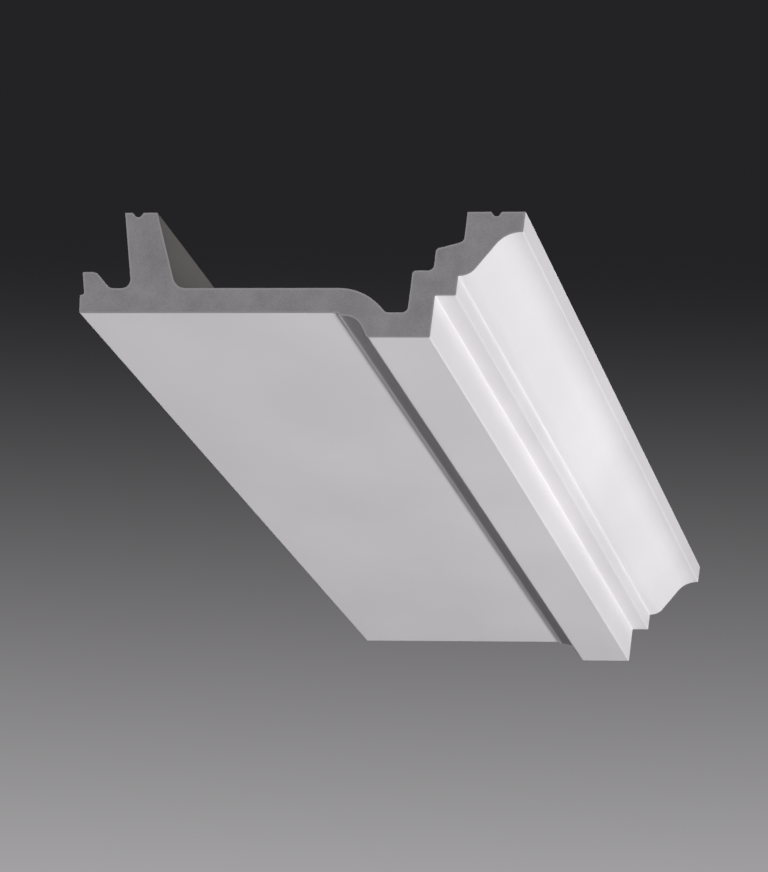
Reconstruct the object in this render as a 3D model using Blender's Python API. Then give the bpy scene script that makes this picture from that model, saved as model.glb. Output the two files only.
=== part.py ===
"""One length of a moulded polyurethane cornice, cut square at both ends.

The section stands in the XZ plane and the length runs along Y. The face looks outwards to +X and downwards.
The origin lies on the top, at mid length, in the middle of the outer rib's flat beside its outer arris.
In the values below, a drop is a depth under the top and a place is a distance from the back edge, in metres.
"""

import math

import bpy
from mathutils import Matrix, Vector

# The whole length
LENGTH = 1.000
PROJECTION = 0.210
SHELL = 0.012

# Mould draft: faces that rise towards the top lean outwards, and the inner rib leans the other way
DRAFT = math.radians(5.5)
RIB_FRONT_LEAN = math.radians(6.5)
RIB_BACK_LEAN = math.radians(15.2)

# Members of the face, from the top edge down and in towards the back edge
FILLET_HEIGHT = 0.0097
CYMA_HEIGHT = 0.0209
CYMA_WIDTH = 0.0300
STEP_HEIGHT = 0.0094
STEP_WIDTH = 0.0098
NOSE_HEIGHT = 0.0200
NOSE_WIDTH = 0.0296
NOSE_BELOW_SOFFIT = 0.0117
COVE_WIDTH = 0.0137
QUIRK = 0.0012

# Curves of that face: a cyma is a hollow above and a round below, each with a short level end
CYMA_HOLLOW_LEVEL = 0.0079
CYMA_HOLLOW_RADIUS = 0.0168
CYMA_ROUND_LEVEL = 0.0051
CYMA_ROUND_RADIUS = 0.0108
COVE_SLANT = math.radians(64.0)
COVE_RADIUS = 0.0099

# Eased edges
ARRIS = 0.0006
NOSE_ARRIS = 0.0020

# Hidden side: the outer rib and the stepped hollow that follows the cyma, step and nose
OUTER_RIB = 0.0273
LEDGE_LIFT = 0.0010
LEDGE_RISE = 0.0034
POCKET_EASE = 0.0010
BACK_COVE_SLANT = math.radians(48.0)
BACK_COVE_RADIUS = 0.0267
HOLLOW_FILLET = 0.0030
HOLLOW_ROUND = 0.0018
RIB_FILLET = 0.0062

# Hidden side: the inner rib, the channel beside it and the lip at the back edge
RIB_SETBACK = 0.0202
RIB_WIDTH = 0.0154
CHANNEL_FILLET = 0.0042
LIP_HEIGHT = 0.0078
LIP_WIDTH = 0.0066
LIP_SLANT = math.radians(50.7)
LIP_ROUND = 0.0040
NIB_HEIGHT = 0.0086
NIB_SHOULDER = 0.0007
RELIEF_TOP = 0.0009
RELIEF_FOOT = 0.0020

# Adhesive grooves in the tops of both ribs, narrower at the floor by the taper
GROOVE_WIDTH = 0.0052
GROOVE_DEPTH = 0.0021
GROOVE_TAPER = 0.35
GROOVE_ROUND = 0.0012
RIB_GROOVE_SETBACK = 0.0063

# Fineness of the arcs
ARC_STEP = math.radians(6.0)

PRIMER_COLOUR = (0.78, 0.78, 0.79, 1.0)
PRIMER_ROUGHNESS = 0.55

# Drops of the face and of the hollow behind it
CYMA_DROP = FILLET_HEIGHT + CYMA_HEIGHT
STEP_DROP = CYMA_DROP + STEP_HEIGHT
NOSE_DROP = STEP_DROP + NOSE_HEIGHT
SOFFIT_DROP = NOSE_DROP - NOSE_BELOW_SOFFIT
FLOOR_DROP = SOFFIT_DROP - SHELL

# Places of the face's edges, worked out from the top edge inwards
FILLET_FOOT = PROJECTION - FILLET_HEIGHT * math.tan(DRAFT)
CYMA_FOOT = FILLET_FOOT - CYMA_WIDTH
STEP_EDGE = CYMA_FOOT - STEP_HEIGHT * math.tan(DRAFT)
NOSE_TOP = STEP_EDGE - STEP_WIDTH
NOSE_EDGE = NOSE_TOP - NOSE_HEIGHT * math.tan(DRAFT)
COVE_EDGE = NOSE_EDGE - NOSE_WIDTH


def sharp(place, drop):
    return (place, drop, 0.0)


def eased(place, drop, radius):
    return (place, drop, radius)


def lean(top, drop, angle):
    """Place, at some drop, of a face that starts at the place top, at no drop, and leans by the angle."""
    return top + drop * math.tan(angle)


def groove(centre):
    """Corners of an adhesive groove in the top of a rib, from its inner side outwards."""
    floor = GROOVE_WIDTH * GROOVE_TAPER
    return [
        sharp(centre - GROOVE_WIDTH / 2, 0.0),
        eased(centre - floor / 2, GROOVE_DEPTH, GROOVE_ROUND),
        eased(centre + floor / 2, GROOVE_DEPTH, GROOVE_ROUND),
        sharp(centre + GROOVE_WIDTH / 2, 0.0),
    ]


def face_side():
    """Corners of the face, from the top edge to the back edge."""
    cove_top = SOFFIT_DROP + QUIRK
    cove_corner = COVE_EDGE - (NOSE_DROP - cove_top) / math.tan(COVE_SLANT)
    soffit_edge = COVE_EDGE - COVE_WIDTH
    return [
        sharp(PROJECTION, 0.0),
        eased(FILLET_FOOT, FILLET_HEIGHT, ARRIS),
        eased(FILLET_FOOT - CYMA_HOLLOW_LEVEL, FILLET_HEIGHT, CYMA_HOLLOW_RADIUS),
        eased(CYMA_FOOT + CYMA_ROUND_LEVEL, CYMA_DROP, CYMA_ROUND_RADIUS),
        eased(CYMA_FOOT, CYMA_DROP, ARRIS),
        eased(STEP_EDGE, STEP_DROP, ARRIS),
        eased(NOSE_TOP, STEP_DROP, ARRIS),
        eased(NOSE_EDGE, NOSE_DROP, ARRIS),
        eased(COVE_EDGE, NOSE_DROP, NOSE_ARRIS),
        eased(cove_corner, cove_top, COVE_RADIUS),
        sharp(soffit_edge, cove_top),
        eased(soffit_edge, SOFFIT_DROP, ARRIS),
        eased(0.0, SOFFIT_DROP, ARRIS),
    ]


def back_side():
    """Corners of the nib at the back edge, the lip above it and the inner rib beyond the channel."""
    nib_top = SOFFIT_DROP - NIB_HEIGHT
    lip_top = FLOOR_DROP - LIP_HEIGHT
    lip_edge = RELIEF_TOP + LIP_WIDTH
    return [
        eased(0.0, nib_top, ARRIS),
        eased(RELIEF_FOOT, nib_top - NIB_SHOULDER, ARRIS),
        eased(RELIEF_TOP, lip_top, ARRIS),
        eased(lip_edge, lip_top, LIP_ROUND),
        eased(lip_edge + LIP_HEIGHT / math.tan(LIP_SLANT), FLOOR_DROP, CHANNEL_FILLET),
        eased(lean(RIB_SETBACK, FLOOR_DROP, RIB_FRONT_LEAN), FLOOR_DROP, CHANNEL_FILLET),
        sharp(RIB_SETBACK, 0.0),
        *groove(RIB_SETBACK + RIB_GROOVE_SETBACK),
        sharp(RIB_SETBACK + RIB_WIDTH, 0.0),
    ]


def hollow_side():
    """Corners of the hollow, from the inner rib to the outer rib, a shell's thickness behind the face."""
    pocket_drop = NOSE_DROP - SHELL
    shelf_drop = STEP_DROP - SHELL
    ledge_foot = CYMA_DROP - SHELL - LEDGE_LIFT
    ledge_head = ledge_foot - LEDGE_RISE
    pocket_foot = COVE_EDGE + SHELL * math.tan(COVE_SLANT / 2) + POCKET_EASE
    slant_head = pocket_foot - (pocket_drop - FLOOR_DROP) / math.tan(BACK_COVE_SLANT)
    back_nose = lean(NOSE_TOP - SHELL, STEP_DROP, DRAFT)
    back_step = lean(CYMA_FOOT - SHELL, CYMA_DROP, DRAFT)
    rib_back = PROJECTION - OUTER_RIB
    return [
        eased(lean(RIB_SETBACK + RIB_WIDTH, FLOOR_DROP, RIB_BACK_LEAN), FLOOR_DROP, RIB_FILLET),
        eased(slant_head, FLOOR_DROP, BACK_COVE_RADIUS),
        eased(pocket_foot, pocket_drop, HOLLOW_FILLET),
        eased(lean(back_nose, pocket_drop, -DRAFT), pocket_drop, HOLLOW_FILLET),
        eased(lean(back_nose, shelf_drop, -DRAFT), shelf_drop, HOLLOW_ROUND),
        eased(lean(back_step, shelf_drop, -DRAFT), shelf_drop, HOLLOW_FILLET),
        eased(lean(back_step, ledge_foot, -DRAFT), ledge_foot, HOLLOW_ROUND),
        eased(lean(rib_back, ledge_head, -DRAFT), ledge_head, HOLLOW_FILLET),
        sharp(rib_back, 0.0),
        *groove(PROJECTION - OUTER_RIB / 2),
    ]


def rounded(corners):
    """Points of a closed outline whose corners are eased to arcs, the place across and the drop downwards.

    Where the arcs at both ends of a side ask for more than its length, both shrink to share it.
    """
    spots = [Vector((place, -drop)) for place, drop, _ in corners]
    count = len(spots)
    sides = [spots[(i + 1) % count] - spots[i] for i in range(count)]
    turns = [-sides[i - 1].angle_signed(sides[i]) for i in range(count)]
    reaches = [radius * math.tan(abs(turn) / 2) for (_, _, radius), turn in zip(corners, turns)]
    fits = []
    for i, side in enumerate(sides):
        wanted = reaches[i] + reaches[(i + 1) % count]
        fits.append(min(1.0, side.length / wanted) if wanted > 0 else 1.0)
    points = []
    for i, spot in enumerate(spots):
        reach = reaches[i] * min(fits[i - 1], fits[i])
        if reach == 0:
            points.append(spot)
            continue
        turn = turns[i]
        arrive = sides[i - 1].normalized()
        start = spot - arrive * reach
        radius = reach / math.tan(abs(turn) / 2)
        centre = start + arrive.orthogonal() * math.copysign(radius, turn)
        steps = max(2, math.ceil(abs(turn) / ARC_STEP))
        for k in range(steps + 1):
            points.append(centre + Matrix.Rotation(turn * k / steps, 2) @ (start - centre))
    return points


def primer():
    """White factory primer on moulded polyurethane."""
    material = bpy.data.materials.new("white primer")
    material.use_nodes = True
    shader = material.node_tree.nodes["Principled BSDF"]
    shader.inputs["Base Color"].default_value = PRIMER_COLOUR
    shader.inputs["Roughness"].default_value = PRIMER_ROUGHNESS
    shader.inputs["Metallic"].default_value = 0.0
    return material


def moulding(name, points):
    """The section as a flat outline, extruded half the length each way and turned so that it runs along Y."""
    curve = bpy.data.curves.new(name, "CURVE")
    curve.dimensions = "2D"
    curve.fill_mode = "BOTH"
    curve.extrude = LENGTH / 2
    spline = curve.splines.new("POLY")
    spline.points.add(len(points) - 1)
    for knot, point in zip(spline.points, points):
        knot.co = (point.x, point.y, 0.0, 1.0)
    spline.use_cyclic_u = True
    curve.materials.append(primer())
    made = bpy.data.objects.new(name, curve)
    made.rotation_euler = (math.radians(90.0), 0.0, 0.0)
    return made


def main():
    for old in list(bpy.data.objects):
        bpy.data.objects.remove(old)
    parts = bpy.data.collections.new("cornice moulding length")
    bpy.context.scene.collection.children.link(parts)
    outer_flat = (OUTER_RIB - GROOVE_WIDTH) / 2
    origin = Vector((PROJECTION - outer_flat / 2, 0.0))
    outline = rounded(face_side() + back_side() + hollow_side())
    parts.objects.link(moulding("cornice_moulding", [point - origin for point in outline]))


main()
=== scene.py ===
# %% [markdown]
# A length of moulded cornice, dressed and lit. The real thing is hard polyurethane foam cast in a long
# mould: a flat soffit, a nose, a step and a cyma in front, and a hollow with two glueing ribs behind. It
# is primed white in front, raw behind and sawn at both ends. The lesson reads the section off the packed
# model, sweeps it with Geometry Nodes and gives it three finishes.

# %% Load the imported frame
import math
import random

import bmesh
import bpy
from mathutils import Matrix, Vector
from mathutils.geometry import delaunay_2d_cdt


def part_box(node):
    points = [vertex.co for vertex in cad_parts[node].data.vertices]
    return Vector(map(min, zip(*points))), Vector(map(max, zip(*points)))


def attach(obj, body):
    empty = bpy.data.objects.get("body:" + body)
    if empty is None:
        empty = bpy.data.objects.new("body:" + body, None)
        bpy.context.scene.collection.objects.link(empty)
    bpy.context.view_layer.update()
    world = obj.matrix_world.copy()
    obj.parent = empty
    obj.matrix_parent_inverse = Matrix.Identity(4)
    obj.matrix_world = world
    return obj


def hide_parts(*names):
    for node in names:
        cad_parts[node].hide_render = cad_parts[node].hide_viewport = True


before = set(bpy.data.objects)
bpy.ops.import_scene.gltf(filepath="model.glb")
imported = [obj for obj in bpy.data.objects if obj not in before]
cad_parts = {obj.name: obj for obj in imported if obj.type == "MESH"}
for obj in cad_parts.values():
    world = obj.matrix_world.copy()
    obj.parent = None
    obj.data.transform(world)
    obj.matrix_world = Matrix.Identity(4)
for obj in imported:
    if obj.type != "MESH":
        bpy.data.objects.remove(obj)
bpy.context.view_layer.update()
lowest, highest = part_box("cornice_moulding")
LENGTH = highest.y - lowest.y
MM = 0.001
print("length", round(LENGTH / MM), "mm, projection", round((highest.x - lowest.x) / MM), "mm")

# %% [markdown]
# Colours are written as sRGB hex, the way a paint or plastics chart gives them, and turned to linear in
# one place. One more helper adds a node to any tree: its settings are keywords, and an input is either a
# value or a link. Three short ones build on it for what repeats most: a sum, a share and a blend of colours.


# %% Helpers for colours and nodes
def linear(code):
    """Linear red, green, blue and alpha of a hex colour such as #E3E2E5."""
    shares = [int(code[i : i + 2], 16) / 255 for i in (1, 3, 5)]
    return [s / 12.92 if s <= 0.04045 else ((s + 0.055) / 1.055) ** 2.4 for s in shares] + [1.0]


def node(tree, kind, inputs=None, **settings):
    """Adds a node. An input's key is its name or place, and its value is a number, a colour or a socket."""
    made = tree.nodes.new(kind)
    for name, value in settings.items():
        setattr(made, name, value)
    for key, value in (inputs or {}).items():
        if isinstance(value, bpy.types.NodeSocket):
            tree.links.new(value, made.inputs[key])
        else:
            made.inputs[key].default_value = value
    return made


def maths(tree, operation, *values):
    """The result of a Math node on its values, each of them a number or a socket."""
    return node(tree, "ShaderNodeMath", dict(enumerate(values)), operation=operation).outputs[0]


def share_between(tree, value, low, high):
    """Nothing where the value is at the low end, one at the high end and even in between."""
    return node(tree, "ShaderNodeMapRange", {"Value": value, "From Min": low, "From Max": high}).outputs[0]


def blend(tree, share, start, end):
    """The colour that is the start where the share is nothing and the end where it is one."""
    return node(tree, "ShaderNodeMix", {0: share, 6: start, 7: end}, data_type="RGBA").outputs[2]


# %% [markdown]
# The camera stands where the photograph's did: low on the face side, looking along the length at its sawn
# end. Its place is a real one, measured from the back edge, the top and the near end, so the perspective
# is the same. It is turned to the moulding instead of shifted, because a shift would push the object
# aside in every other view.

# %% Camera
CAMERA_FROM_BACK = 0.525
CAMERA_UNDER_TOP = 0.625
CAMERA_BEFORE_END = 2.730
CAMERA_YAW = math.radians(7.9)
CAMERA_PITCH = math.radians(10.65)
CAMERA_ROLL = math.radians(1.6)
LENS_MM = 249.0
SENSOR_MM = 36.0
QUARTER_TURN = math.radians(90)


def camera_turn(yaw, pitch, roll):
    """Turn of a camera that looks along +Y, then left by the yaw, up by the pitch and over by the roll."""
    upwards = Matrix.Rotation(pitch + QUARTER_TURN, 4, "X")
    return Matrix.Rotation(yaw, 4, "Z") @ upwards @ Matrix.Rotation(roll, 4, "Z")


lens = bpy.data.cameras.new("photo_camera")
lens.lens = LENS_MM
lens.sensor_width = SENSOR_MM
camera = bpy.data.objects.new("photo_camera", lens)
scene = bpy.context.scene
scene.collection.objects.link(camera)
station = Vector((
    lowest.x + CAMERA_FROM_BACK,
    lowest.y - CAMERA_BEFORE_END,
    highest.z - CAMERA_UNDER_TOP,
))
camera.matrix_world = Matrix.Translation(station) @ camera_turn(CAMERA_YAW, CAMERA_PITCH, CAMERA_ROLL)
scene.camera = camera
print("camera stands", [round(c, 3) for c in station])

# %% [markdown]
# The light is worked out from tones in the photograph. The cyma is brightest, the soffit is two thirds of
# that, the sawn end a quarter and the cove a sixth. One small key low on the face side does this: it
# looks straight at the cyma, grazes the soffit, and the nose throws a shadow that just fills the cove. A
# large soft box in front lifts the sawn end, and two from the back side light the raw skin, which would
# be black in the other views. Those two cast no glints, which would show as specks on the sharp edges of
# the ribs.

# %% Lights
scene.view_settings.view_transform = "Standard"
middle = (lowest + highest) / 2

# Each light's place from the middle of the moulding, its width, its watts, and whether it casts glints.
LIGHTS = {
    "key_face_side": ((2.255, 0.0, -1.67), 0.35, 71.0, True),
    "fill_before_end": ((0.22, -2.55, -0.45), 1.0, 17.5, True),
    "top_back_side": ((-1.70, 0.50, 2.10), 1.6, 48.0, False),
    "far_back_side": ((-1.00, 2.60, 0.90), 1.6, 24.0, False),
}


def soft_box(name, place, width, watts, glints):
    """A square area light that looks at the middle of the moulding and that the camera never sees."""
    light = bpy.data.lights.new(name, "AREA")
    light.shape = "SQUARE"
    light.size = width
    light.energy = watts
    made = bpy.data.objects.new(name, light)
    made.location = middle + Vector(place)
    made.rotation_euler = (-Vector(place)).to_track_quat("-Z", "Y").to_euler()
    made.visible_camera = False
    made.visible_glossy = glints
    scene.collection.objects.link(made)


for name, light_sizes in LIGHTS.items():
    soft_box(name, *light_sizes)
print(len(LIGHTS), "lights")

# %% [markdown]
# What the camera sees of the world is a studio sweep: pale at the level of the floor and dark higher up,
# so that the white face stands out and the hollow looks as deep as it does in the photograph. For all
# other rays the world is only the light that a pale floor throws back, so most of it comes from below.
# The floor lies far below, because this object is fixed high up and is looked at from underneath.

# %% Sweep and floor
BOUNCE_BELOW = 0.13
BOUNCE_ABOVE = 0.03
BOUNCE_SPREAD = 0.2
SWEEP_LOW = linear("#C9C7C9")
# The dark top of the sweep is what the camera sees through the open hollow, so there it is painted shade
# inside the hollow.
SWEEP_HIGH = linear("#232224")
SWEEP_START = math.sin(math.radians(2.0))
SWEEP_END = math.sin(math.radians(12.5))
FLOOR_DROP = 5.0
FLOOR_WIDTH = 80.0
FLOOR_ROUGHNESS = 0.9
FLOOR_GLOW = 1.0


def studio_world():
    """A sweep for camera rays, and weak light, mostly from below, for all others."""
    world = bpy.data.worlds.new("studio_sweep")
    world.use_nodes = True
    tree = world.node_tree
    tree.nodes.clear()
    heading = node(tree, "ShaderNodeTexCoord")
    height = node(tree, "ShaderNodeSeparateXYZ", {0: heading.outputs["Generated"]}).outputs["Z"]
    rise = node(
        tree,
        "ShaderNodeMapRange",
        {"Value": height, "From Min": SWEEP_START, "From Max": SWEEP_END},
        interpolation_type="SMOOTHSTEP",
    )
    sweep = blend(tree, rise.outputs["Result"], SWEEP_LOW, SWEEP_HIGH)
    bounce = node(
        tree,
        "ShaderNodeMapRange",
        {
            "Value": height,
            "From Min": -BOUNCE_SPREAD,
            "From Max": BOUNCE_SPREAD,
            "To Min": BOUNCE_BELOW,
            "To Max": BOUNCE_ABOVE,
        },
    )
    seen = node(tree, "ShaderNodeBackground", {"Color": sweep})
    unseen = node(tree, "ShaderNodeBackground", {"Strength": bounce.outputs[0]})
    ray = node(tree, "ShaderNodeLightPath")
    both = node(
        tree,
        "ShaderNodeMixShader",
        {0: ray.outputs["Is Camera Ray"], 1: unseen.outputs[0], 2: seen.outputs[0]},
    )
    node(tree, "ShaderNodeOutputWorld", {"Surface": both.outputs[0]})
    return world


def pale_floor():
    """A wide level floor far under the object, as pale as the sweep's foot, which lights nothing itself."""
    shape = bmesh.new()
    bmesh.ops.create_grid(shape, x_segments=1, y_segments=1, size=FLOOR_WIDTH / 2)
    mesh = bpy.data.meshes.new("pale_floor")
    shape.to_mesh(mesh)
    shape.free()
    mesh.transform(Matrix.Translation((0, 0, lowest.z - FLOOR_DROP)))
    paint = bpy.data.materials.new("pale_floor_paint")
    paint.use_nodes = True
    shader = paint.node_tree.nodes["Principled BSDF"]
    shader.inputs["Base Color"].default_value = SWEEP_LOW
    shader.inputs["Roughness"].default_value = FLOOR_ROUGHNESS
    shader.inputs["Emission Color"].default_value = SWEEP_LOW
    shader.inputs["Emission Strength"].default_value = FLOOR_GLOW
    mesh.materials.append(paint)
    floor = bpy.data.objects.new("pale_floor", mesh)
    scene.collection.objects.link(floor)
    floor.visible_diffuse = False
    floor.visible_glossy = False
    return floor


scene.world = studio_world()
pale_floor()

# %% [markdown]
# The section is the whole design, so it is read once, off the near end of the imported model, and never
# redrawn. A copy of the model's mesh is merged, because its triangles are loose. The edges with one end
# face are the rim. The walk starts at the outer top edge and goes down over the face, so the primed side
# comes first.


# %% Read the section
SAME_POINT = 0.002 * MM
AT_THE_BACK = 0.01 * MM
FACING_THE_SAW = 0.99


def end_outline(mesh):
    """The rim of the end that faces -Y, as points (x, z) from the outer top edge down over the face."""
    shape = bmesh.new()
    shape.from_mesh(mesh)
    bmesh.ops.remove_doubles(shape, verts=shape.verts, dist=SAME_POINT)
    ends = {face for face in shape.faces if face.normal.y < -FACING_THE_SAW}
    rim = [edge for edge in shape.edges if sum(face in ends for face in edge.link_faces) == 1]
    beside = {}
    for edge in rim:
        a, b = edge.verts
        beside.setdefault(a, []).append(b)
        beside.setdefault(b, []).append(a)
    first = max(beside, key=lambda vert: vert.co.x)
    previous, here = first, min(beside[first], key=lambda vert: vert.co.z)
    loop = [first]
    while here is not first:
        loop.append(here)
        previous, here = here, next(vert for vert in beside[here] if vert is not previous)
    points = [Vector((vert.co.x, vert.co.z)) for vert in loop]
    shape.free()
    return points


outline = end_outline(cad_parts["cornice_moulding"].data)
back_corner = next(i for i, point in enumerate(outline) if point.x < lowest.x + AT_THE_BACK)
print(len(outline), "points round the section, the first", back_corner + 1, "on the primed side")

# %% [markdown]
# Long straight sides get extra points, so that the swept faces can carry a slight mould ripple. A point
# close to each end of a side keeps the shading of the flat from bending before the eased corner. The raw
# back catches some primer near its edges, so each point also notes how far the spray reaches round to it.

# %% Prepare the outline
GUARD = 0.5 * MM
SHORT_SIDE = 4 * GUARD
SPAN = 5.0 * MM
SPRAY_REACH = 9.0 * MM


def with_spans(points):
    """The outline with guards and even spans on its long sides, and the corner that each point follows."""
    made, sources = [], []
    for i, start in enumerate(points):
        end = points[(i + 1) % len(points)]
        side = end - start
        made.append(start)
        sources.append(i)
        if side.length < SHORT_SIDE:
            continue
        lead = side.normalized() * GUARD
        a, b = start + lead, end - lead
        count = max(1, math.ceil((b - a).length / SPAN))
        made += [a.lerp(b, k / count) for k in range(count + 1)]
        sources += [i] * (count + 1)
    return made, sources


rim_points, rim_sources = with_spans(outline)
primed = [
    float(source < back_corner or point is outline[back_corner])
    for source, point in zip(rim_sources, rim_points)
]
steps = [(rim_points[(i + 1) % len(rim_points)] - point).length for i, point in enumerate(rim_points)]
run = [sum(steps[:i]) for i in range(len(rim_points))]
whole_run = sum(steps)
last_primed = max(i for i, share in enumerate(primed) if share)
sprayed = [
    1.0 if share else math.exp(-min(run[i] - run[last_primed], whole_run - run[i]) / SPRAY_REACH)
    for i, share in enumerate(primed)
]
print(len(rim_points), "points after spanning, girth", round(whole_run / MM), "mm")

# %% [markdown]
# The sawn end is a flat sheet of small triangles with the outline as its edge, so that it can be slightly
# rough. Points on an even, jittered honeycomb fill it, and a constrained Delaunay triangulation ties them
# to the outline.

# %% Triangulate the sawn face
SAWN_GRAIN = 0.9 * MM
SAWN_MARGIN = 0.45 * MM
SAWN_JITTER = 0.2
SAWN_SEED = 5


def clear_inside(point, sides):
    """True if the point lies inside the outline and no nearer to it than the margin."""
    inside = False
    for start, end in sides:
        if (start.y > point.y) != (end.y > point.y):
            reach = start.x + (point.y - start.y) * (end.x - start.x) / (end.y - start.y)
            inside = inside != (point.x < reach)
    if not inside:
        return False
    for start, end in sides:
        side = end - start
        share = max(0.0, min(1.0, (point - start).dot(side) / side.length_squared))
        if (start + side * share - point).length < SAWN_MARGIN:
            return False
    return True


def honeycomb(points, seed):
    """Jittered points inside the outline, a grain apart."""
    chance = random.Random(seed)
    sides = [(start, points[(i + 1) % len(points)]) for i, start in enumerate(points)]
    row_height = SAWN_GRAIN * math.sin(math.radians(60))
    rows = int((highest.z - lowest.z) / row_height)
    columns = int((highest.x - lowest.x) / SAWN_GRAIN)
    made = []
    for row in range(rows + 1):
        for column in range(columns + 1):
            shift = SAWN_GRAIN / 2 * (row % 2)
            spot = Vector((lowest.x + shift + column * SAWN_GRAIN, lowest.z + row * row_height))
            sideways = chance.uniform(-SAWN_JITTER, SAWN_JITTER)
            upwards = chance.uniform(-SAWN_JITTER, SAWN_JITTER)
            spot += Vector((sideways, upwards)) * SAWN_GRAIN
            if clear_inside(spot, sides):
                made.append(spot)
    return made


def section_sheet(points, seed):
    """The section as a flat mesh in the XY plane, with attributes for what each point of its rim knows."""
    count = len(points)
    spots = points + honeycomb(points, seed)
    edges = [(i, (i + 1) % count) for i in range(count)]
    verts, _, faces, origins, _, _ = delaunay_2d_cdt(spots, edges, [], 1, 0.0)
    mesh = bpy.data.meshes.new("section_sheet")
    mesh.from_pydata([(vert.x, vert.y, 0.0) for vert in verts], [], faces)
    for name, values in (("primed", primed), ("sprayed", sprayed)):
        attribute = mesh.attributes.new(name, "FLOAT", "POINT")
        for i, sources in enumerate(origins):
            on_rim = [source for source in sources if source < count]
            attribute.data[i].value = values[on_rim[0]] if on_rim else 0.0
    return mesh


sheet = section_sheet(rim_points, SAWN_SEED)
print(len(sheet.polygons), "triangles on a sawn end")

# %% [markdown]
# Three finishes, each named for what the real surface is. All their patterns read Object coordinates in
# metres, so a pattern's scale is one over its size. The primed face is a sprayed, matt water-based primer
# over the dense skin of the casting: a nearly even white, with a fine orange peel and a few specks of
# dust caught in the film.


# %% Finish 1: sprayed white primer
def pitch(millimetres):
    """Scale of a texture whose pattern repeats about every so many millimetres."""
    return 1 / (millimetres * MM)


def new_finish(name, roughness, ior):
    """A material with only a Principled shader, its node tree and that shader."""
    material = bpy.data.materials.new(name)
    material.use_nodes = True
    shader = material.node_tree.nodes["Principled BSDF"]
    shader.inputs["Roughness"].default_value = roughness
    shader.inputs["IOR"].default_value = ior
    return material, material.node_tree, shader


def stretched(tree, factors):
    """Object coordinates times a factor for each axis. A small one draws a pattern out along its axis."""
    place = node(tree, "ShaderNodeTexCoord")
    return node(tree, "ShaderNodeMapping", {"Vector": place.outputs["Object"], "Scale": factors}).outputs[0]


NOISE_LOW = 0.35
NOISE_HIGH = 0.65
PRIMER_WHITE = linear("#E6E3E6")
PRIMER_WHITE_THIN = linear("#E1DEE1")
PRIMER_IOR = 1.50
PRIMER_SMOOTHEST = 0.74
PRIMER_ROUGHEST = 0.84
PRIMER_PATCH_MM = 70.0
PRIMER_PATCH_ALONG = 0.35
SHEEN_LOW = 0.3
SHEEN_HIGH = 0.7
PEEL_MM = 1.7
DUST_MM = 16.0
DUST_CORE = 0.03
DUST_RIM = 0.055
DUST_RISE = 0.5
PEEL_DEPTH = 0.06 * MM
PEEL_STRENGTH = 0.22


def sprayed_primer():
    """Water-based white primer, sprayed: broad thin patches, a fine orange peel and sparse dust specks."""
    middling = (PRIMER_SMOOTHEST + PRIMER_ROUGHEST) / 2
    material, tree, shader = new_finish("sprayed_white_primer", middling, PRIMER_IOR)
    along = stretched(tree, (1.0, PRIMER_PATCH_ALONG, 1.0))
    patches = node(
        tree,
        "ShaderNodeTexNoise",
        {"Vector": along, "Scale": pitch(PRIMER_PATCH_MM), "Detail": 3.0},
    )
    film = share_between(tree, patches.outputs[0], NOISE_LOW, NOISE_HIGH)
    colour = blend(tree, film, PRIMER_WHITE_THIN, PRIMER_WHITE)
    even = stretched(tree, (1.0, 1.0, 1.0))
    peel = node(tree, "ShaderNodeTexNoise", {"Vector": even, "Scale": pitch(PEEL_MM), "Detail": 2.0})
    dust = node(tree, "ShaderNodeTexVoronoi", {"Vector": even, "Scale": pitch(DUST_MM)})
    speck = node(
        tree,
        "ShaderNodeMapRange",
        {
            "Value": dust.outputs["Distance"],
            "From Min": DUST_CORE,
            "From Max": DUST_RIM,
            "To Min": 1.0,
            "To Max": 0.0,
        },
    )
    relief = maths(tree, "MULTIPLY_ADD", speck.outputs[0], DUST_RISE, peel.outputs[0])
    bump = node(
        tree,
        "ShaderNodeBump",
        {"Height": relief, "Strength": PEEL_STRENGTH, "Distance": PEEL_DEPTH},
    )
    sheen = node(
        tree,
        "ShaderNodeMapRange",
        {
            "Value": patches.outputs[0],
            "From Min": SHEEN_LOW,
            "From Max": SHEEN_HIGH,
            "To Min": PRIMER_SMOOTHEST,
            "To Max": PRIMER_ROUGHEST,
        },
    )
    tree.links.new(colour, shader.inputs["Base Color"])
    tree.links.new(sheen.outputs[0], shader.inputs["Roughness"])
    tree.links.new(bump.outputs[0], shader.inputs["Normal"])
    return material


# %% [markdown]
# The back is the casting as it left the mould: a dense, slightly warm grey skin with release marks drawn
# along the length, small trapped bubbles, and a mist of primer that drifted round both edges while the
# face was sprayed.


# %% Finish 2: raw cast skin
SKIN_PALE = linear("#DEDBDA")
SKIN_DARK = linear("#D3D0CF")
SKIN_IOR = 1.50
SKIN_ROUGHNESS = 0.62
STREAK_MM = 14.0
STREAK_ALONG = 0.08
STREAK_RISE = 0.6
MIST_MM = 2.2
MIST_STARTS = 0.75
MIST_COVERS = 1.25
BUBBLE_MM = 7.0
BUBBLE_CORE = 0.05
BUBBLE_RIM = 0.12
SKIN_RELIEF = 0.15 * MM
SKIN_STRENGTH = 0.5


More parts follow.
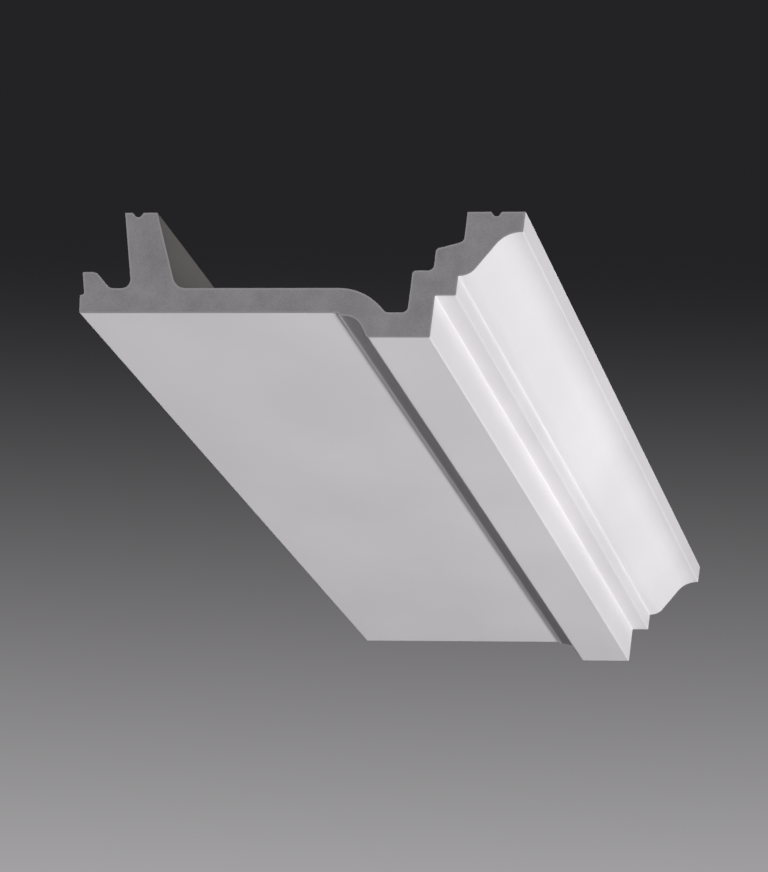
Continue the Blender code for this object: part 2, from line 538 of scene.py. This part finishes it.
def cast_skin():
    """Unpainted polyurethane skin with release streaks, bubbles and overspray near the primed edges."""
    material, tree, shader = new_finish("raw_cast_polyurethane_skin", SKIN_ROUGHNESS, SKIN_IOR)
    drawn = stretched(tree, (1.0, STREAK_ALONG, 1.0))
    streaks = node(tree, "ShaderNodeTexNoise", {"Vector": drawn, "Scale": pitch(STREAK_MM), "Detail": 4.0})
    marked = share_between(tree, streaks.outputs[0], NOISE_LOW, NOISE_HIGH)
    bare = blend(tree, marked, SKIN_DARK, SKIN_PALE)
    even = stretched(tree, (1.0, 1.0, 1.0))
    mist_grain = node(tree, "ShaderNodeTexNoise", {"Vector": even, "Scale": pitch(MIST_MM), "Detail": 2.0})
    spray = node(tree, "ShaderNodeAttribute", attribute_name="sprayed")
    mist = maths(tree, "ADD", mist_grain.outputs[0], spray.outputs["Fac"])
    covered = share_between(tree, mist, MIST_STARTS, MIST_COVERS)
    colour = blend(tree, covered, bare, PRIMER_WHITE)
    bubbles = node(tree, "ShaderNodeTexVoronoi", {"Vector": even, "Scale": pitch(BUBBLE_MM)})
    pits = share_between(tree, bubbles.outputs["Distance"], BUBBLE_CORE, BUBBLE_RIM)
    relief = maths(tree, "MULTIPLY_ADD", streaks.outputs[0], STREAK_RISE, pits)
    bump = node(
        tree,
        "ShaderNodeBump",
        {"Height": relief, "Strength": SKIN_STRENGTH, "Distance": SKIN_RELIEF},
    )
    tree.links.new(colour, shader.inputs["Base Color"])
    tree.links.new(bump.outputs[0], shader.inputs["Normal"])
    return material


# %% [markdown]
# The ends are sawn through: matt, greyer closed-cell foam, with a denser and lighter skin about a
# millimetre thick all round and faint arcs from the saw's teeth. Real cells are a few tenths of a
# millimetre, too fine to show from here, so they are drawn 0.9 mm across. The skin's line reads how deep
# each point lies under the outline.


# %% Finish 3: sawn foam
FOAM_PALE = linear("#C4C1C4")
FOAM_DARK = linear("#ACA9AC")
FOAM_SKIN = linear("#CBC8CB")
FOAM_IOR = 1.45
FOAM_ROUGHNESS = 0.85
FOAM_PALEST = 0.6
CELL_MM = 0.9
CELL_SHADE = -0.45
CLOUD_MM = 9.0
SAW_SHIFT = (0.10, 0.0, -0.14)
SAW_STEP_MM = 2.4
SAW_WOBBLE = 2.0
SAW_RISE = 0.25
SAWN_RELIEF = 0.2 * MM
SAWN_STRENGTH = 0.35
SKIN_DEPTH = 1.1 * MM
SKIN_FADE_FROM = 0.3 * SKIN_DEPTH


def sawn_foam():
    """Closed-cell polyurethane foam with saw arcs about the point that the shift takes to the origin."""
    material, tree, shader = new_finish("sawn_polyurethane_foam", FOAM_ROUGHNESS, FOAM_IOR)
    even = stretched(tree, (1.0, 1.0, 1.0))
    cells = node(tree, "ShaderNodeTexVoronoi", {"Vector": even, "Scale": pitch(CELL_MM)})
    clouds = node(tree, "ShaderNodeTexNoise", {"Vector": even, "Scale": pitch(CLOUD_MM), "Detail": 4.0})
    tone = maths(tree, "MULTIPLY_ADD", cells.outputs["Distance"], CELL_SHADE, clouds.outputs[0])
    core = blend(tree, share_between(tree, tone, 0.0, FOAM_PALEST), FOAM_DARK, FOAM_PALE)
    depth = node(tree, "ShaderNodeAttribute", attribute_name="depth")
    below_skin = share_between(tree, depth.outputs["Fac"], SKIN_FADE_FROM, SKIN_DEPTH)
    colour = blend(tree, below_skin, FOAM_SKIN, core)
    swing = node(
        tree,
        "ShaderNodeMapping",
        {
            "Vector": node(tree, "ShaderNodeTexCoord").outputs["Object"],
            "Location": SAW_SHIFT,
            "Scale": (1.0, 0.0, 1.0),
        },
    )
    arcs = node(
        tree,
        "ShaderNodeTexWave",
        {
            "Vector": swing.outputs[0],
            "Scale": pitch(SAW_STEP_MM) / math.tau,
            "Distortion": SAW_WOBBLE,
            "Detail": 2.0,
        },
        wave_type="RINGS",
        rings_direction="SPHERICAL",
    )
    relief = maths(tree, "MULTIPLY_ADD", arcs.outputs["Fac"], SAW_RISE, cells.outputs["Distance"])
    bump = node(
        tree,
        "ShaderNodeBump",
        {"Height": relief, "Strength": SAWN_STRENGTH, "Distance": SAWN_RELIEF},
    )
    tree.links.new(colour, shader.inputs["Base Color"])
    tree.links.new(bump.outputs[0], shader.inputs["Normal"])
    return material


# %% [markdown]
# The length is a sweep: its shape follows one rule from end to end, so Geometry Nodes make it. The tree
# takes the sheet's rim as a curve, runs it along a straight path for the long faces, sets the sheet
# itself at both ends, and merges all three. It works upright, along Z, and lays the result down along Y
# at the end. The long faces get a ripple of less than a tenth of a millimetre each way, as a long casting
# has. It fades out at the faces that are glued on and at the sawn ends, so that those stay true.

# %% The sweep's inputs
SWEEP_SIZES = {
    "Length": ("NodeSocketFloat", LENGTH),
    "Stations": ("NodeSocketInt", 49),
    "Ripple Height": ("NodeSocketFloat", 0.16 * MM),
    "Ripple Width": ("NodeSocketFloat", 60 * MM),
    "Ripple Along": ("NodeSocketVector", (1.0, 0.4, 1.0)),
    "True Margin": ("NodeSocketFloat", 12 * MM),
    "Back Edge": ("NodeSocketFloat", lowest.x),
    "Saw Relief": ("NodeSocketFloat", 0.12 * MM),
    "Saw Grain": ("NodeSocketFloat", 2.2 * MM),
    "Sharp Angle": ("NodeSocketFloat", math.radians(28)),
    "Fully Primed": ("NodeSocketFloat", 0.99),
    "Facing Saw": ("NodeSocketFloat", 0.8),
    "Weld Reach": ("NodeSocketFloat", 0.005 * MM),
    "Seed": ("NodeSocketFloat", 3.0),
    "Face": ("NodeSocketMaterial", sprayed_primer()),
    "Back": ("NodeSocketMaterial", cast_skin()),
    "Sawn": ("NodeSocketMaterial", sawn_foam()),
}


# %% The sweep's tree
def saw_ends(tree, sizes, sheet, depth):
    """The sheet at both ends of the upright length, with a rough sawn surface that only goes inwards."""
    half = maths(tree, "DIVIDE", sizes["Length"], 2.0)
    grain = maths(tree, "DIVIDE", 1.0, sizes["Saw Grain"])
    inside = share_between(tree, depth, 0.0, SKIN_DEPTH)
    ends = []
    for sign in (1.0, -1.0):
        chance = maths(tree, "ADD", sizes["Seed"], sign)
        rough = node(
            tree,
            "ShaderNodeTexNoise",
            {"W": chance, "Scale": grain, "Detail": 1.0},
            noise_dimensions="4D",
        )
        fall = maths(tree, "MULTIPLY", rough.outputs[0], sizes["Saw Relief"])
        sunk = maths(tree, "MULTIPLY", fall, inside)
        level = maths(tree, "SUBTRACT", half, sunk)
        offset = node(tree, "ShaderNodeCombineXYZ", {"Z": maths(tree, "MULTIPLY", level, sign)})
        placed = node(tree, "GeometryNodeSetPosition", {"Geometry": sheet, "Offset": offset.outputs[0]})
        ends.append(placed.outputs[0])
    return ends


def ripple(tree, sizes, geometry):
    """Moves the long faces in and out along their normals, but not at the top, the back edge or the ends."""
    place = node(tree, "GeometryNodeInputPosition").outputs[0]
    parts = node(tree, "ShaderNodeSeparateXYZ", {0: place}).outputs
    drop = maths(tree, "MULTIPLY", parts["Z"], -1.0)
    away = maths(tree, "SUBTRACT", parts["X"], sizes["Back Edge"])
    half = maths(tree, "DIVIDE", sizes["Length"], 2.0)
    to_end = maths(tree, "SUBTRACT", half, maths(tree, "ABSOLUTE", parts["Y"]))
    nearest = maths(tree, "MINIMUM", maths(tree, "MINIMUM", drop, away), to_end)
    fade = node(
        tree,
        "ShaderNodeMapRange",
        {"Value": nearest, "From Max": sizes["True Margin"]},
        interpolation_type="SMOOTHSTEP",
    )
    scale = maths(tree, "DIVIDE", 1.0, sizes["Ripple Width"])
    longer = node(
        tree,
        "ShaderNodeVectorMath",
        {0: place, 1: sizes["Ripple Along"]},
        operation="MULTIPLY",
    )
    wave = node(
        tree,
        "ShaderNodeTexNoise",
        {"Vector": longer.outputs[0], "W": sizes["Seed"], "Scale": scale, "Detail": 1.0},
        noise_dimensions="4D",
    )
    centred = maths(tree, "SUBTRACT", wave.outputs[0], 0.5)
    raised = maths(tree, "MULTIPLY", centred, sizes["Ripple Height"])
    faded = maths(tree, "MULTIPLY", raised, fade.outputs[0])
    normal = node(tree, "GeometryNodeInputNormal")
    offset = node(tree, "ShaderNodeVectorMath", {0: normal.outputs[0], "Scale": faded}, operation="SCALE")
    moved = node(tree, "GeometryNodeSetPosition", {"Geometry": geometry, "Offset": offset.outputs[0]})
    return moved.outputs[0]


def finish_faces(tree, sizes, geometry):
    """Smooth shading with sharp arrises, and each face's material: sawn ends, primed face, raw back."""
    smooth = node(tree, "GeometryNodeSetShadeSmooth", {"Geometry": geometry})
    angle = node(tree, "GeometryNodeInputMeshEdgeAngle")
    sharp = node(
        tree,
        "FunctionNodeCompare",
        {0: angle.outputs["Unsigned Angle"], 1: sizes["Sharp Angle"]},
        data_type="FLOAT",
        operation="GREATER_THAN",
    )
    creased = node(
        tree,
        "GeometryNodeStoreNamedAttribute",
        {"Geometry": smooth.outputs[0], "Name": "sharp_edge", "Value": sharp.outputs[0]},
        data_type="BOOLEAN",
        domain="EDGE",
    )
    primed = node(tree, "GeometryNodeInputNamedAttribute", {"Name": "primed"}, data_type="FLOAT")
    face = node(
        tree,
        "FunctionNodeCompare",
        {0: primed.outputs[0], 1: sizes["Fully Primed"]},
        data_type="FLOAT",
        operation="GREATER_THAN",
    )
    normal = node(tree, "GeometryNodeInputNormal")
    facing = node(tree, "ShaderNodeSeparateXYZ", {0: normal.outputs[0]})
    cut = node(
        tree,
        "FunctionNodeCompare",
        {0: maths(tree, "ABSOLUTE", facing.outputs["Y"]), 1: sizes["Facing Saw"]},
        data_type="FLOAT",
        operation="GREATER_THAN",
    )
    painted = creased.outputs[0]
    for name, chosen in (("Back", None), ("Face", face.outputs[0]), ("Sawn", cut.outputs[0])):
        inputs = {"Geometry": painted, "Material": sizes[name]}
        if chosen:
            inputs["Selection"] = chosen
        painted = node(tree, "GeometryNodeSetMaterial", inputs).outputs[0]
    return painted


def sweep_tree():
    """The whole sweep, from the flat sheet to the finished length."""
    tree = bpy.data.node_groups.new("sweep_section", "GeometryNodeTree")
    tree.interface.new_socket(name="Geometry", in_out="INPUT", socket_type="NodeSocketGeometry")
    for name, (kind, _) in SWEEP_SIZES.items():
        tree.interface.new_socket(name=name, in_out="INPUT", socket_type=kind)
    tree.interface.new_socket(name="Geometry", in_out="OUTPUT", socket_type="NodeSocketGeometry")
    sizes = node(tree, "NodeGroupInput").outputs
    neighbours = node(tree, "GeometryNodeInputMeshEdgeNeighbors")
    rim_edge = node(
        tree,
        "FunctionNodeCompare",
        {2: neighbours.outputs[0], 3: 1},
        data_type="INT",
        operation="EQUAL",
    )
    rim = node(
        tree,
        "GeometryNodeMeshToCurve",
        {"Mesh": sizes["Geometry"], "Selection": rim_edge.outputs[0]},
    )
    rim_line = node(tree, "GeometryNodeCurveToMesh", {"Curve": rim.outputs[0]})
    under = node(tree, "GeometryNodeProximity", {"Geometry": rim_line.outputs[0]}, target_element="EDGES")
    sheet = node(
        tree,
        "GeometryNodeStoreNamedAttribute",
        {"Geometry": sizes["Geometry"], "Name": "depth", "Value": under.outputs["Distance"]},
        data_type="FLOAT",
        domain="POINT",
    )
    depth = node(tree, "GeometryNodeInputNamedAttribute", {"Name": "depth"}, data_type="FLOAT")
    ends = saw_ends(tree, sizes, sheet.outputs[0], depth.outputs[0])
    start = node(tree, "ShaderNodeCombineXYZ", {"Z": maths(tree, "DIVIDE", sizes["Length"], -2.0)})
    end = node(tree, "ShaderNodeCombineXYZ", {"Z": maths(tree, "DIVIDE", sizes["Length"], 2.0)})
    path = node(tree, "GeometryNodeCurvePrimitiveLine", {"Start": start.outputs[0], "End": end.outputs[0]})
    stations = node(
        tree,
        "GeometryNodeResampleCurve",
        {"Curve": path.outputs[0], "Count": sizes["Stations"]},
    )
    sides = node(
        tree,
        "GeometryNodeCurveToMesh",
        {"Curve": stations.outputs[0], "Profile Curve": rim.outputs[0]},
    )
    joined = node(tree, "GeometryNodeJoinGeometry")
    for part in (ends[1], ends[0], sides.outputs[0]):
        tree.links.new(part, joined.inputs[0])
    whole = node(
        tree,
        "GeometryNodeMergeByDistance",
        {"Geometry": joined.outputs[0], "Distance": sizes["Weld Reach"]},
    )
    laid = node(
        tree,
        "GeometryNodeTransform",
        {"Geometry": whole.outputs[0], "Rotation": (QUARTER_TURN, 0.0, 0.0)},
    )
    rippled = ripple(tree, sizes, laid.outputs[0])
    finished = finish_faces(tree, sizes, rippled)
    real = node(tree, "GeometryNodeRealizeInstances", {"Geometry": finished})
    node(tree, "NodeGroupOutput", {"Geometry": real.outputs[0]})
    return tree


# %% [markdown]
# The modifier goes on the flat sheet, its inputs are set by their identifiers, and the evaluated result
# is taken as a plain mesh. A sweep may come out with its faces turned in, because a curve runs either way
# round, so the closed mesh has its normals worked out afresh once its doubles are gone.


# %% Sweep the length
def swept(mesh, tree, values):
    """The evaluated result of the tree on a mesh, as a mesh of its own."""
    carrier = bpy.data.objects.new("section_carrier", mesh)
    scene.collection.objects.link(carrier)
    modifier = carrier.modifiers.new("sweep", "NODES")
    modifier.node_group = tree
    for item in tree.interface.items_tree:
        if item.in_out == "INPUT" and item.name in values:
            modifier[item.identifier] = values[item.name][1]
    graph = bpy.context.evaluated_depsgraph_get()
    made = bpy.data.meshes.new_from_object(carrier.evaluated_get(graph))
    bpy.data.objects.remove(carrier)
    return made


length_mesh = swept(sheet, sweep_tree(), SWEEP_SIZES)
length_mesh.name = "moulded_length"
shape = bmesh.new()
shape.from_mesh(length_mesh)
bmesh.ops.recalc_face_normals(shape, faces=shape.faces)
loose_edges = sum(len(edge.link_faces) != 2 for edge in shape.edges)
shape.to_mesh(length_mesh)
volume = shape.calc_volume()
shape.free()
moulded_length = bpy.data.objects.new("moulded_length", length_mesh)
scene.collection.objects.link(moulded_length)
triangles = sum(len(face.vertices) - 2 for face in length_mesh.polygons)
print(triangles, "triangles,", loose_edges, "open edges")
print("volume", round(volume / (10 * MM) ** 3), "cubic centimetres")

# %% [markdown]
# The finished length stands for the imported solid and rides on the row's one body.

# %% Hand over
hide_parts("cornice_moulding")
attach(moulded_length, "root")
